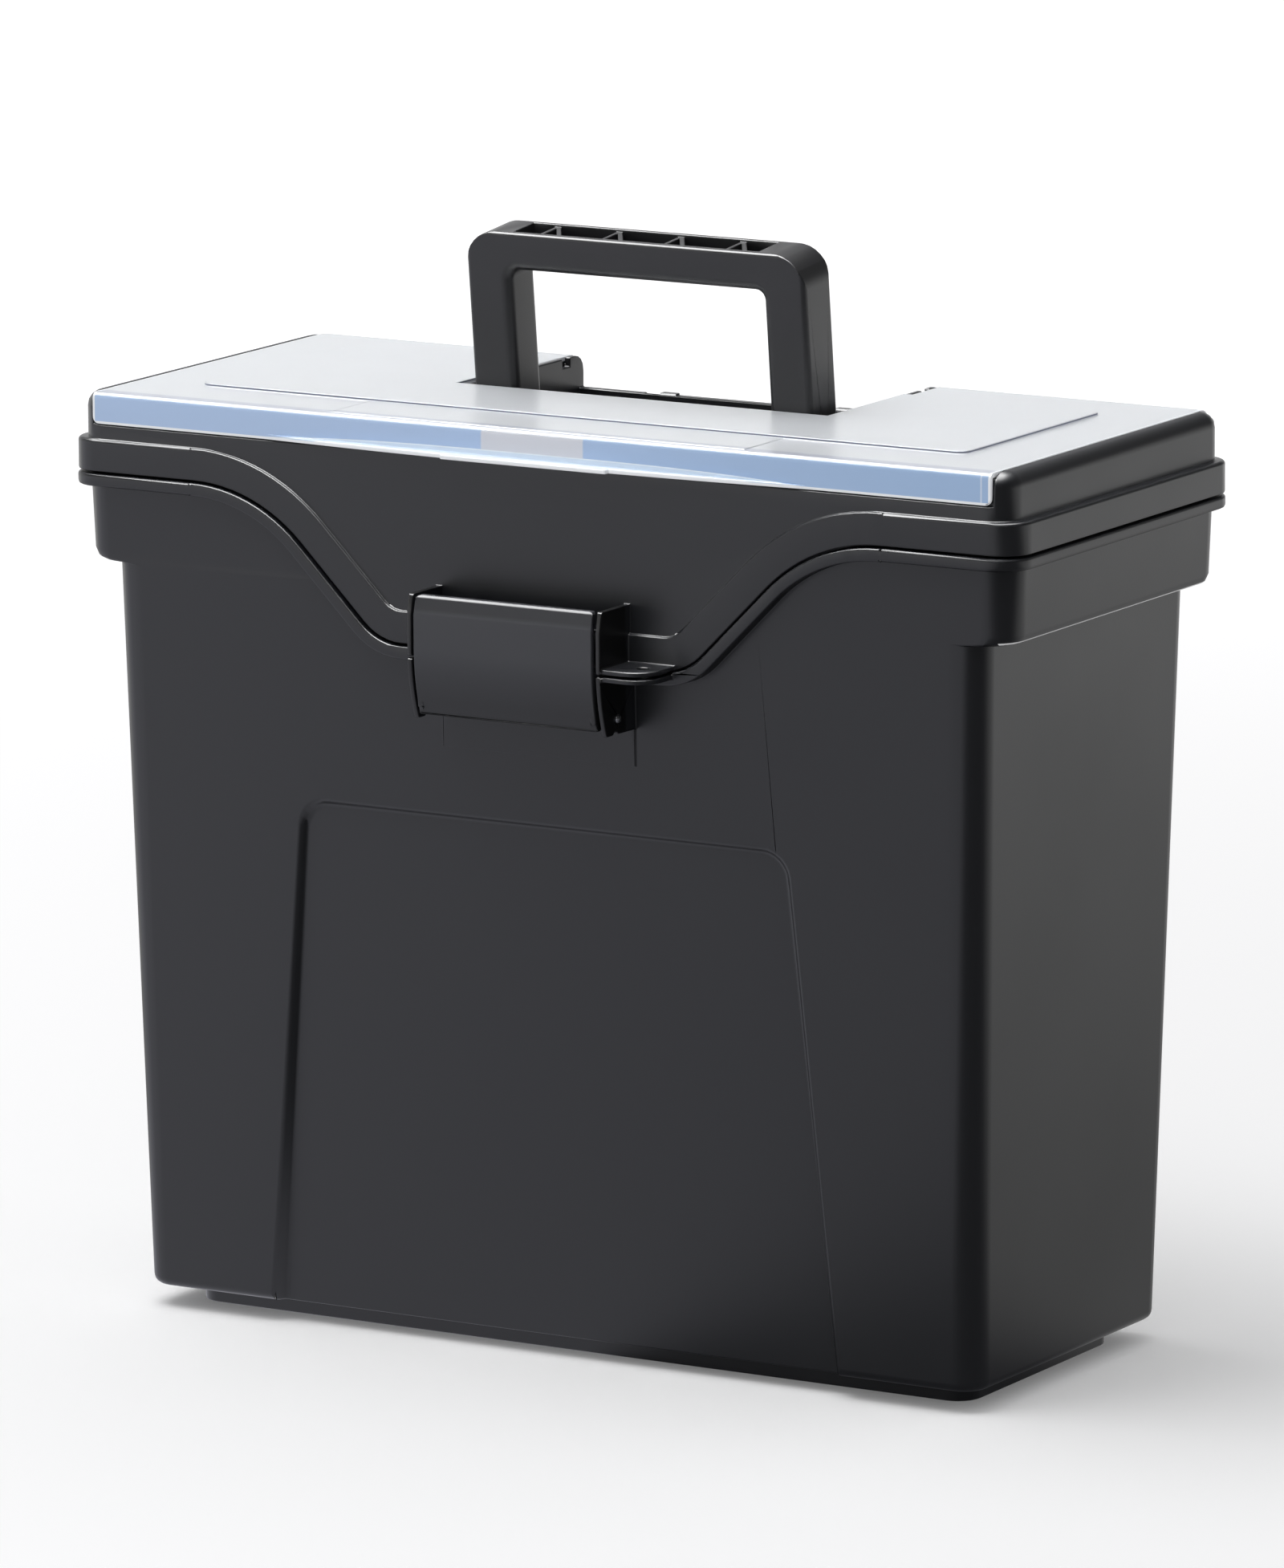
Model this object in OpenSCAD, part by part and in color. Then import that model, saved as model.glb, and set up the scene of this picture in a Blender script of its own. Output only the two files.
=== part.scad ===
// Portable file box: a drafted tub for hanging folders, closed by an organizer lid with its own
// see-through cover, a folding carrying handle and a snap latch.
// Millimetres. X runs across the front, Y from front to back, Z up.
// The origin is the middle of the foot's resting plane.

/* [Box] */
// Width over the rim bead
box_w = 340; // [334:1:346]
// Depth over the rim bead
box_d = 145; // [144:1:147]
// Height from the floor to the lid's flat top
box_h = 295; // [290:1:300]
// Wall thickness of the mouldings
wall = 2.2; // [1.8:0.1:2.4]

/* [Tub] */
// Width of the body just under the shoulder
body_top_w = 312; // [308:1:314]
// Width of the body at its bottom edge
body_bottom_w = 302.4; // [296:0.2:306]
// Depth of the body at the height of the shoulder
body_top_d = 136; // [134:0.5:136.5]
// Depth of the body at its bottom edge
body_bottom_d = 121.2; // [118:0.2:126]
// Height of the shoulder above the floor
shoulder_z = 241; // [238:1:243]
// Height of the foot ring
foot_h = 6.8; // [5:0.2:8]
// Height of the rim bead
bead_h = 4; // [3:0.5:5]

/* [Dip in the rim] */
// How far the rim drops at the latch
dip_drop = 45; // [42:1:47]
// Half width at which the rim starts to fall
dip_half_w = 123; // [118:1:126]
// Radius of the shoulder of the dip, on the lid band's top line
dip_shoulder_r = 66; // [60:1:70]
// Radius of the root of the dip, on the lid band's top line
dip_root_r = 9; // [6:1:12]
// Height of the lid's band
band_h = 10.2; // [9:0.2:11]

/* [Front panel recess] */
// Height of the recess's top edge above the floor
recess_top_z = 171.3; // [160:0.1:178]
// Half width of the recess at its top edge
recess_top_half_w = 87.3; // [80:0.1:92]
// Half width of the recess at the bottom edge
recess_bottom_half_w = 103.3; // [95:0.1:110]
// Depth of the recess at its top edge
recess_top_depth = 2.3; // [1.5:0.1:3]
// Depth of the recess at the bottom edge
recess_bottom_depth = 4.6; // [3:0.1:5]

/* [Lid] */
// Width of the lid above its band
lid_w = 333.2; // [332:0.2:336]
// Radius of the lid's upper edge
lid_edge_r = 5; // [4:0.5:6]
// Half width of the handle's bed
bed_half_w = 64.6; // [63:0.1:66]
// Thickness of the organizer cover
cover_t = 1.6; // [1.4:0.1:1.8]

/* [Handle] */
// Width of the handle
handle_w = 122; // [118:1:122]
// Length from the pivot to the top of the grip
handle_len = 60.5; // [54:0.5:60.5]
// Thickness from front to back
handle_t = 17; // [15:0.5:17]
// Forward lean of the raised handle, in degrees
handle_lean = 6; // [4:0.5:7]

/* [Latch] */
// Half width of the latch plate
latch_half_w = 31.9; // [28:0.1:32]
// Distance of the latch's face in front of the box's middle plane
latch_face = 88.8; // [87:0.1:90]

/* [Hidden] */

body_colour = [0.19, 0.19, 0.2];
grip_colour = [0.15, 0.155, 0.165];
clear_colour = [0.86, 0.88, 0.94, 0.6];
steel_colour = [0.72, 0.73, 0.75];

eps = 0.05;
far = 400;
gap = 0.7;              // seam between the tub's bead and the lid's band
running = 0.06;         // radial clearance of a bore that turns on its pin
seated = 0.02;          // radial clearance of a bore that holds its pin
corner_steps = 6;       // facets on each rounded corner

// Levels
band_top_z = box_h - 14.9;
rim_z = band_top_z - band_h - gap;
bead_bottom_z = rim_z - bead_h;
lid_bottom_z = band_top_z - band_h;
tray_floor_t = 2;
tray_floor_z = box_h - 19.2;
cover_bottom_z = box_h - cover_t;
seat_z = cover_bottom_z - 0.3;

// Tub
body_r = 9;
body_back_shift = 1;    // the back wall leans in this much more than the front
floor_t = 2.4;
collar_bottom_w = 332;
collar_top_w = 334;
front_slope = (body_top_d / 2 - body_bottom_d / 2 - body_back_shift) / (shoulder_z - foot_h);
function front_y(z) = -(body_bottom_d / 2 + body_back_shift + front_slope * (z - foot_h));
front_zone_y = -60;     // the rim dips only in front of this plane
lip_h = 3.5;
lip_inset = 0.8;
lip_t = 1.4;
rail_h = 8;
rail_t = 2.2;
rail_half_len = 58;
foot_w = 281.2;
foot_d = 94.4;
foot_wall = 2.2;
pad_half_w = 34.5;
pad_bottom_z = 193;
pad_proud = 0.3;
tub_root_y = -66;       // plane inside the tub's front wall, where its fittings are rooted

// Lid
lid_front_y = -70.2;
band_front_y = -71.4;
band_wall = 2.2;
band_r = 10;
lid_r = 9;
cheek_in = 161;         // half width of the space between the lid's end cheeks
tray_half_w = 159;
tray_front_y = -66.4;
tray_back_y = 67.9;
bed_front_y = -4.4;
bed_back_y = 66.9;
bed_floor_z = box_h - 17.5;
bed_step_z = box_h - 10.5;
bed_wall = 2;
divider_x = 127;
divider_t = 1.6;
divider_top_z = box_h - 5;
rabbet_y = -68.6;
rabbet_z = box_h - 10.3;
window_half_w = 18;     // finger window in the lid's front wall
window_depth = 3.6;
lid_root_y = lid_front_y + 1.5;
roll_y = 66.2;          // axis of the organizer cover's hinge
roll_z = box_h - 3.8;
roll_r = 3.8;
cover_pin_r = 1.25;
pin_end_wall = 0.8;     // closes the pin's seat towards the bed

// Organizer cover
lip_out_y = -70.3;
lip_in_y = -68.9;
lip_bottom_z = box_h - 10;
lip_corner_r = 2.2;
cover_half_w = 160.7;
wing_in = bed_half_w + bed_wall + 0.4;
disc_t = 2.6;
panel_half_w = 137.4;   // raised panel that a box above stands round
panel_half_d = 44;
panel_proud = 1;
centre_half_w = 74;     // the middle of the top, a shade thicker
centre_front_y = -68;
centre_proud = 0.25;

// Main hinge
hinge_y = 76.6;
hinge_z = rim_z + 0.3;
hinge_r = 3.6;
hinge_pin_r = 1.5;
hinge_x = 98;           // middle of each hinge
ear_out = 12;           // half width over the two ears
ear_in = 7;             // half width between the two ears
ear_gap = 0.4;

// Handle
pivot_y = 5.6;
pivot_z = bed_floor_z + 0.3 + handle_t / 2;
leg_w = 15.5;
grip_h = 12.3;
grip_corner_r = 11;
grip_edge_r = 1.2;
opening_corner_r = 3;
opening_edge_r = 3.4;
leg_edge_r = 2;
handle_pin_r = 2;
pivot_boss_r = 5;
pocket_half_w = 44;
pocket_half_d = 6.1;
pocket_depth = 7;
truss_pitch = 22.3;
truss_start_x = -35.6;
truss_lean = 7.9;
truss_t = 1.2;

// Latch
latch_top_z = rim_z - 25;
latch_bottom_z = latch_top_z - 37.6;
latch_bend_z = latch_top_z - 16.4;
latch_bend_r = 64.75;
latch_bevel_h = 5.8;
latch_bevel = 1.4;
latch_wall = 2;
latch_corner_r = 1.8;
hook_half_w = 20;
latch_pin_y = -78;
latch_pin_z = latch_top_z - 34.4;
latch_pin_r = 1.5;
latch_barrel_r = 3.4;
cheek_gap = 0.9;        // between the plate's edge and the cheek beside it
cheek_t = 1.8;
parting_z = band_top_z - dip_drop - band_h - gap / 2;
tab_t = 1.7;
tab_x = 51;             // outer end of the lock tabs
tab_r = 9;
eye_r = 1.9;
eye_x = 44.5;
eye_y = -79;

// --- Outlines -----------------------------------------------------------------------------

function arc(cx, cy, r, from, to, steps) =
  [for (i = [0 : steps]) let (a = from + (to - from) * i / steps) [cx + r * cos(a), cy + r * sin(a)]];

// Rounded rectangle, counted anticlockwise from the right-hand front corner
function rounded(w, d, r) = concat(
  arc(w / 2 - r, r - d / 2, r, -90, 0, corner_steps), arc(w / 2 - r, d / 2 - r, r, 0, 90, corner_steps),
  arc(r - w / 2, d / 2 - r, r, 90, 180, corner_steps), arc(r - w / 2, r - d / 2, r, 180, 270, corner_steps));

function reversed(points) = [for (i = [len(points) - 1 : -1 : 0]) points[i]];
function mirrored(points) = [for (p = reversed(points)) [-p[0], p[1]]];

// Rim line of the dip: a flat root, a 45 degree slope and a long shoulder, tangent to each other.
// "down" is the distance below the top line of the lid's band; all such lines run parallel.
shoulder_c = [dip_half_w, band_top_z - dip_shoulder_r];
root_cz = band_top_z - dip_drop + dip_root_r;
root_c = [shoulder_c[0] - sqrt(2) * (dip_shoulder_r + dip_root_r) - (shoulder_c[1] - root_cz), root_cz];
function rim_side(down) = concat(
  arc(root_c[0], root_c[1], dip_root_r + down, -90, -45, 6),
  arc(shoulder_c[0], shoulder_c[1], dip_shoulder_r - down, 135, 90, 12));
function rim_line(down, beyond = 0) = concat(
  beyond > 0 ? [[-dip_half_w - beyond, band_top_z - down]] : [],
  mirrored(rim_side(down)), rim_side(down),
  beyond > 0 ? [[dip_half_w + beyond, band_top_z - down]] : []);

module rim_band(from, to) polygon(concat(rim_line(from, 1), reversed(rim_line(to, 1))));
module above_rim(down, top, beyond = 0)
  polygon(concat(rim_line(down, beyond), [[dip_half_w + beyond, top], [-dip_half_w - beyond, top]]));

// --- Solids from outlines -----------------------------------------------------------------

// Extrude an outline drawn in X and Z from y0 back to y1
module along_y(y0, y1) translate([0, y1, 0]) rotate([90, 0, 0]) linear_extrude(y1 - y0) children();

// Extrude an outline drawn in Y and Z from x0 to x1
module along_x(x0, x1) translate([x0, 0, 0]) rotate([90, 0, 90]) linear_extrude(x1 - x0) children();

module rod_x(x0, x1, y, z, r, fn = 48) translate([x0, y, z]) rotate([0, 90, 0])
  cylinder(r = r, h = x1 - x0, $fn = fn);

module block(x0, x1, y0, y1, z0, z1) translate([x0, y0, z0]) cube([x1 - x0, y1 - y0, z1 - z0]);

module both_sides() { children(); mirror([1, 0, 0]) children(); }

// Skin a stack of closed rings that all have the same number of points
module skin(rings) {
  n = len(rings[0]);
  last = (len(rings) - 1) * n;
  polyhedron(points = [for (ring = rings) each ring], faces = concat(
    [[for (i = [0 : n - 1]) i]], [[for (i = [n - 1 : -1 : 0]) last + i]],
    [for (k = [0 : len(rings) - 2], i = [0 : n - 1], side = [0, 1]) let (a = k * n, j = (i + 1) % n)
      side == 0 ? [a + i, a + n + i, a + n + j] : [a + i, a + n + j, a + j]]));
}

// A level of a drafted box: [width, depth, corner radius, height, shift towards the front]
function level_ring(s) = [for (p = rounded(s[0], s[1], s[2])) [p[0], p[1] - s[4], s[3]]];
module drafted(levels) skin([for (s = levels) level_ring(s)]);

// Levels that round a bottom or a top edge by r; the level s is where the rounding ends or starts
function round_up(s, r) = [for (a = [0 : 22.5 : 89]) let (in = r * (1 - sin(a)))
  [s[0] - 2 * in, s[1] - 2 * in, max(s[2] - in, 1), s[3] - r * cos(a), s[4]]];
function round_over(s, r) = [for (a = [22.5 : 22.5 : 90]) let (in = r * (1 - cos(a)))
  [s[0] - 2 * in, s[1] - 2 * in, max(s[2] - in, 1), s[3] + r * sin(a), s[4]]];

// --- Tub ----------------------------------------------------------------------------------

// Level of the body at height z, moved in by t
function body_level(z, t = 0) = let (k = (z - foot_h) / (shoulder_z - foot_h))
  [body_bottom_w + (body_top_w - body_bottom_w) * k - 2 * t,
   body_bottom_d + (body_top_d - body_bottom_d) * k - 2 * t, body_r - t, z, body_back_shift * (1 - k)];
// Level of the collar above the shoulder
function collar_level(z, t = 0) = let (k = (z - shoulder_z) / (rim_z - shoulder_z))
  [collar_bottom_w + (collar_top_w - collar_bottom_w) * k - 2 * t,
   body_top_d + 2 * front_slope * (z - shoulder_z) - 2 * t, body_r + 1 - t, z, 0];

module tub_outer() {
  edge_r = 3;
  collar_edge = 3.5;
  shelf_rise = 0.3;     // keeps the front of the body and of the collar one smooth face
  shelf = collar_level(shoulder_z);
  drafted(concat(
    round_up(body_level(foot_h + edge_r), edge_r),
    [body_level(foot_h + edge_r), body_level(shoulder_z),
     [shelf[0] - 2 * collar_edge, shelf[1], shelf[2], shelf[3] + shelf_rise, 0],
     [shelf[0] - collar_edge * 0.6, shelf[1], shelf[2], shelf[3] + collar_edge * 0.3, 0],
     collar_level(shoulder_z + collar_edge), collar_level(rim_z)]));
}

module tub_cavity() {
  edge_r = 4;
  floor_z = foot_h + floor_t;
  shelf = collar_level(shoulder_z + wall, wall);
  top = collar_level(rim_z, wall);
  drafted(concat(
    round_up(body_level(floor_z + edge_r, wall), edge_r),
    [body_level(floor_z + edge_r, wall), body_level(shoulder_z + wall - 0.01, wall),
     [shelf[0], shelf[1] + 0.1, shelf[2], shelf[3], 0], top, [top[0], top[1], top[2], box_h, 0]]));
}

// Front recess as a solid: it stands out of the front by "proud", and is wider and deeper than the
// real hollow by "grow" and "deeper", so the same form also shapes the wall behind it
module recess_form(proud, grow, deeper) {
  bevel = 0.55;
  half_top = recess_top_half_w + grow;
  half_bottom = recess_bottom_half_w + grow;
  top_z = recess_top_z + grow;
  corner = 10 + grow;
  outer = recess_ring(half_top + bevel * proud, half_bottom + bevel * proud, top_z + bevel * proud, corner);
  inner = recess_ring(half_top - bevel * recess_top_depth, half_bottom - bevel * recess_bottom_depth,
    top_z - bevel * recess_top_depth, corner - 1);
  skin([[for (p = inner) [p[0], recess_floor_y(p[1]) + deeper, p[1]]],
        [for (p = outer) [p[0], front_y(p[1]) - proud, p[1]]]]);
}

function recess_ring(half_top, half_bottom, top_z, r) = let (
  bottom_z = foot_h - 4, lean = atan((half_bottom - half_top) / (top_z - bottom_z)),
  tangent = r * tan(45 - lean / 2), side = concat([[half_bottom, bottom_z]],
    arc(half_top - tangent, top_z - r, r, lean, 90, 6)))
  concat(side, mirrored(side));

function recess_floor_y(z) = let (k = (z - foot_h) / (recess_top_z - foot_h))
  front_y(z) + recess_bottom_depth + (recess_top_depth - recess_bottom_depth) * k;

// A band round the box, left out where the rim dips at the front
module ring_without_dip(levels) difference() {
  drafted(levels);
  block(-dip_half_w, dip_half_w, -far, front_zone_y, 0, far);
}

module rim_bead() {
  bead_r = 11;
  chamfer = 0.6;
  ring_without_dip([
    [box_w - 2 * chamfer, box_d - 2 * chamfer, bead_r - chamfer, bead_bottom_z, 0],
    [box_w, box_d, bead_r, bead_bottom_z + chamfer, 0], [box_w, box_d, bead_r, rim_z - chamfer, 0],
    [box_w - 2 * chamfer, box_d - 2 * chamfer, bead_r - chamfer, rim_z, 0]]);
  along_y(-box_d / 2, front_zone_y - 5) rim_band(band_h + gap, band_h + gap + bead_h);
}

// Thin upstand that the lid's band closes over
module rim_lip() {
  w = collar_top_w - 2 * lip_inset;
  d = collar_level(rim_z)[1] - 2 * lip_inset;
  ring_without_dip([[w, d, body_r, rim_z - 2, 0], [w, d, body_r, rim_z + lip_h, 0]]);
  along_y(-d / 2, lip_t - d / 2) rim_band(band_h + gap - lip_h, band_h + gap + 2);
}

// Side walls of the latch: the part of them that stands on the tub or on the lid
module latch_cheeks(z0, z1, back_y) {
  steps = 6;
  inner = latch_half_w + cheek_gap;
  profile = concat([for (i = [0 : steps]) let (z = z0 + (z1 - z0) * i / steps) [latch_y(z) + 0.5, z]],
    [[back_y, z1], [back_y, z0]]);
  both_sides() along_x(inner, inner + cheek_t) polygon(profile);
}

// Small round notch in the foot of the lower cheeks
module cheek_notch()
  rod_x(-latch_half_w - 5, latch_half_w + 5, latch_pin_y - 0.6, latch_bottom_z - 2.6, 1.8, 32);

module lock_tab(z) {
  inner = latch_half_w + cheek_gap;
  front = latch_y(z) + 1;
  translate([0, 0, z]) linear_extrude(tab_t) polygon(concat([[inner, lid_root_y], [inner, front]],
    arc(tab_x - tab_r, front + tab_r, tab_r, -90, 0, 6), [[tab_x, lid_root_y]]));
}

module lock_eye() translate([eye_x, eye_y, parting_z - 5]) cylinder(r = eye_r, h = 10, $fn = 32);

module hinge_ears() both_sides() for (side = [-1, 1]) {
  x = hinge_x + side * (ear_out + ear_in) / 2;
  half = (ear_out - ear_in) / 2;
  root_y = 67;
  foot_y = 70;
  foot_z = rim_z - 12;
  top_z = rim_z - 0.2;
  rod_x(x - half, x + half, hinge_y, hinge_z, hinge_r);
  along_x(x - half, x + half) polygon([[root_y, foot_z], [foot_y, foot_z], [hinge_y + 3.2, hinge_z - 1.6],
    [hinge_y, hinge_z], [hinge_y - 3.2, top_z], [root_y, top_z]]);
}

// Raised pad under the latch
module latch_pad() {
  top_z = parting_z - 2;
  along_x(-pad_half_w, pad_half_w) polygon([[front_y(pad_bottom_z) - pad_proud, pad_bottom_z],
    [front_y(parting_z) - pad_proud, top_z], [tub_root_y, top_z], [tub_root_y, pad_bottom_z]]);
}

module tub() color(body_colour) difference() {
  union() {
    difference() {
      tub_outer();
      along_y(-far, front_zone_y) above_rim(band_h + gap, far);
      recess_form(1, 0, 0);
    }
    rim_bead();
    rim_lip();
    latch_pad();
    latch_cheeks(latch_bottom_z - 1.7, parting_z - gap / 2, tub_root_y);
    lock_tab(parting_z - gap / 2 - tab_t);
    hinge_ears();
    foot_ring();
  }
  difference() {
    tub_cavity();
    recess_form(1, wall * 0.8, wall);
    hanging_rails();
  }
  for (side = [-1, 1])
    rod_x(side * hinge_x - 20, side * hinge_x + 20, hinge_y, hinge_z, hinge_pin_r + seated);
  rod_x(-50, 50, latch_pin_y, latch_pin_z, latch_pin_r + seated);
  cheek_notch();
  lock_eye();
}

module foot_ring() difference() {
  linear_extrude(foot_h + 0.5) polygon(rounded(foot_w, foot_d, 8));
  translate([0, 0, -eps]) linear_extrude(foot_h + eps)
    polygon(rounded(foot_w - 2 * foot_wall, foot_d - 2 * foot_wall, 8 - foot_wall));
}

// The body's side walls carry on above the shoulder as rails for folder hooks
module hanging_rails() both_sides() {
  x = body_top_w / 2 - wall;
  top = shoulder_z + wall + rail_h;
  block(x, x + rail_t, -rail_half_len, rail_half_len, shoulder_z - 3, top);
  translate([x + rail_t / 2, -rail_half_len, top]) rotate([-90, 0, 0])
    cylinder(d = rail_t, h = 2 * rail_half_len, $fn = 24);
}

// --- Lid ----------------------------------------------------------------------------------

module lid_outer() {
  chamfer = 0.7;
  side = [lid_w, -2 * lid_front_y, lid_r, box_h - lid_edge_r, 0];
  foot = [side[0], side[1], side[2], tray_floor_z - tray_floor_t, 0];
  band = [box_w, -2 * band_front_y, band_r, lid_bottom_z, 0];
  drafted(concat([foot, side], round_over(side, lid_edge_r)));
  ring_without_dip([band, [band[0], band[1], band[2], band_top_z - chamfer, 0],
    [band[0] - 2 * chamfer, band[1] - 2 * chamfer, band[2] - chamfer, band_top_z, 0]]);
}

// Front wall of the lid, which reaches down into the dip of the tub's rim
module lid_flap() {
  along_y(lid_front_y, lid_front_y + wall) above_rim(1.5, band_top_z, 1);
  along_y(band_front_y, band_front_y + band_wall) rim_band(0, band_h);
}

// Ridge that the latch's hook reaches over
module latch_catch() {
  half_w = 22;
  top = latch_top_z - 10.5;
  root = lid_front_y + 1;
  nose = -77.2;
  along_x(-half_w, half_w) polygon([[root, top + 1.5], [nose + 0.4, top], [nose, top - 1.2],
    [nose + 2.2, top - 3], [root, top - 3.6]]);
}

module lid_knuckles() both_sides() {
  x = hinge_x;
  half = ear_in - ear_gap;
  root_y = 69.8;
  foot_z = rim_z + 1.4;
  top_z = rim_z + 10;
  rod_x(x - half, x + half, hinge_y, hinge_z, hinge_r);
  along_x(x - half, x + half) polygon([[root_y, foot_z], [hinge_y - 3.1, foot_z], [hinge_y, hinge_z],
    [hinge_y + 2.6, hinge_z + 2.5], [root_y + 1.8, top_z], [root_y, top_z]]);
}

// Hollows under the tray: inside the band, under the handle's bed and up into the end cheeks
module lid_underside() {
  drafted([for (z = [lid_bottom_z - 1, tray_floor_z - tray_floor_t])
    [box_w - 2 * band_wall, -2 * (band_front_y + band_wall), band_r - band_wall, z, 0]]);
  block(-bed_half_w + bed_wall, bed_half_w - bed_wall, bed_front_y + bed_wall, bed_back_y - bed_wall,
    lid_bottom_z - 1, bed_floor_z - bed_wall);
  both_sides() block(cheek_in + 0.4, lid_w / 2 - wall, -58, 58, lid_bottom_z - 1, box_h - 6.5);
}

module organizer_trays() {
  front_wall = bed_front_y - bed_wall;
  side_in = bed_half_w + bed_wall + wall;
  difference() {
    union() {
      block(-tray_half_w, tray_half_w, tray_front_y, front_wall, tray_floor_z, far);
      both_sides() block(side_in, tray_half_w, front_wall - 1, tray_back_y, tray_floor_z, far);
    }
    both_sides() {
      block(divider_x, divider_x + divider_t, -far, front_wall + divider_t, 0, divider_top_z);
      block(bed_half_w, divider_x + divider_t, front_wall, front_wall + divider_t, 0, divider_top_z);
    }
  }
}

// Everything above the seat of the organizer cover goes, apart from the two walls beside the bed
module cover_seat() {
  bed_side = bed_half_w + bed_wall;
  block(-cheek_in, cheek_in, -far, bed_front_y, seat_z, far);
  block(-cheek_in, cheek_in, -far, rabbet_y, rabbet_z, far);
  both_sides() {
    block(bed_side, cheek_in, bed_front_y - 1, far, seat_z, far);
    block(bed_side, cheek_in, roll_y - roll_r - 0.6, far, roll_z - roll_r - 0.4, far);
  }
}

// Bed in which the handle lies when it is folded back, open at the rear
module handle_bed() {
  block(-bed_half_w, bed_half_w, bed_front_y, bed_back_y, bed_floor_z, far);
  block(-bed_half_w, bed_half_w, bed_back_y - 1, far, bed_step_z, far);
  both_sides() {
    sill_notch();
    wall_notch();
  }
}

// Notch in the low sill behind the bed
module sill_notch() block(36, 41, 68.4, far, bed_step_z - 2.5, far);

// Notch in the top of the wall beside the bed
module wall_notch() block(bed_half_w - 1, bed_half_w + bed_wall + eps, 57, 61.5, box_h - 3, far);

// Small bump on the sill, beside its notch
module sill_bump() block(29, 35, 67.4, -lid_front_y, bed_step_z - 1, bed_step_z + 0.6);

// Rounds the upper rear corner of the walls beside the bed
module bed_wall_corner() {
  r = 4;
  y = -lid_front_y;
  both_sides() along_x(bed_half_w - 1, bed_half_w + bed_wall + eps) polygon(concat(
    [[y + 1, box_h + 1], [y - r, box_h + 1]], arc(y - r, box_h - r, r, 90, 0, 6), [[y + 1, box_h - r]]));
}

module lid() color(body_colour) difference() {
  union() {
    difference() {
      lid_outer();
      lid_underside();
      organizer_trays();
      cover_seat();
      handle_bed();
      bed_wall_corner();
      block(-window_half_w, window_half_w, -far, tray_front_y + 1, seat_z - window_depth, far);
    }
    lid_flap();
    latch_catch();
    latch_cheeks(parting_z + gap / 2, latch_top_z, lid_root_y);
    lock_tab(parting_z + gap / 2);
    lid_knuckles();
    both_sides() {
      rod_x(handle_w / 2 + 0.6, bed_half_w + 1, pivot_y, pivot_z, pivot_boss_r);
      sill_bump();
    }
  }
  for (side = [-1, 1])
    rod_x(side * hinge_x - 9, side * hinge_x + 9, hinge_y, hinge_z, hinge_pin_r + running);
  both_sides() {
    rod_x(handle_w / 2 - 1, bed_half_w + bed_wall + 1, pivot_y, pivot_z, handle_pin_r + seated);
    rod_x(bed_half_w + pin_end_wall, bed_half_w + bed_wall + 1, roll_y, roll_z, cover_pin_r + seated, 32);
    rod_x(cheek_in - 1, cheek_in + 3.5, roll_y, roll_z, cover_pin_r + seated, 32);
  }
  lock_eye();
}

// --- Organizer cover ----------------------------------------------------------------------

// Front lip, top plate and rolled rear edge in one bent section
module cover_section() {
  fold_r = 2;
  fillet = 0.3;
  polygon(concat([[lip_out_y, lip_bottom_z]], arc(lip_out_y + fold_r, box_h - fold_r, fold_r, 180, 90, 6),
    arc(roll_y, roll_z, roll_r, 90, -60, 15), arc(roll_y, roll_z, roll_r - cover_t, -60, 90, 15),
    [[lip_in_y + fillet, cover_bottom_z], [lip_in_y, cover_bottom_z - fillet], [lip_in_y, lip_bottom_z]]));
}

// Finger lift: a crescent ledge along the foot of the lip, with a broad tab in its middle
module finger_lift() {
  r = 1058;
  front = lip_out_y - 4.5;
  root = lip_in_y - 0.7;
  tab = 1.5;
  tab_half_w = 29.5;
  translate([0, 0, lip_bottom_z]) linear_extrude(1.4) {
    intersection() {
      translate([0, front + r]) circle(r = r, $fn = 720);
      translate([-cover_half_w, front - 1]) square([2 * cover_half_w, root - front + 1]);
    }
    polygon([[-tab_half_w - 1, root], [-tab_half_w, front - tab],
      [tab_half_w, front - tab], [tab_half_w + 1, root]]);
  }
}

// Discs that close the ends of each rolled edge and turn on the cover's pins
module roll_ends() both_sides() for (x = [wing_in + 0.1, cover_half_w - disc_t])
  rod_x(x, x + disc_t - 0.1, roll_y, roll_z, roll_r - 0.5);

// Rounds the lower corners of the lip
module lip_corners() both_sides() along_y(lip_out_y - 1, lip_in_y + 1) difference() {
  translate([cover_half_w - lip_corner_r, lip_bottom_z - 1]) square(lip_corner_r + 1);
  translate([cover_half_w - lip_corner_r, lip_bottom_z + lip_corner_r]) circle(r = lip_corner_r, $fn = 48);
}

module organizer_cover() color(clear_colour) difference() {
  union() {
    along_x(-cover_half_w, cover_half_w) cover_section();
    finger_lift();
    translate([0, 0, box_h - 0.3]) linear_extrude(panel_proud + 0.3)
      polygon(rounded(2 * panel_half_w, 2 * panel_half_d, 4));
    block(-centre_half_w, centre_half_w, centre_front_y, 0, box_h - 0.3, box_h + centre_proud);
    roll_ends();
  }
  block(-wing_in, wing_in, bed_front_y, far, 0, far);
  lip_corners();
  both_sides() rod_x(wing_in - 1, cover_half_w + 1, roll_y, roll_z, cover_pin_r + running, 32);
}

// --- Handle -------------------------------------------------------------------------------

// Outline from the front, with rounded upper corners
module bail_outline() {
  half = handle_w / 2;
  r = grip_corner_r;
  polygon(concat([[half, -far / 8]], arc(half - r, handle_len - r, r, 0, 90, 8),
    arc(r - half, handle_len - r, r, 90, 180, 8), [[-half, -far / 8]]));
}

// Outline from the side: edged top, and a round foot about the pivot
module bail_side() {
  half = handle_t / 2;
  r = grip_edge_r;
  circle(r = half, $fn = 48);
  polygon(concat([[-half, 0], [half, 0]], arc(half - r, handle_len - r, r, 0, 90, 4),
    arc(r - half, handle_len - r, r, 90, 180, 4)));
}

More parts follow.
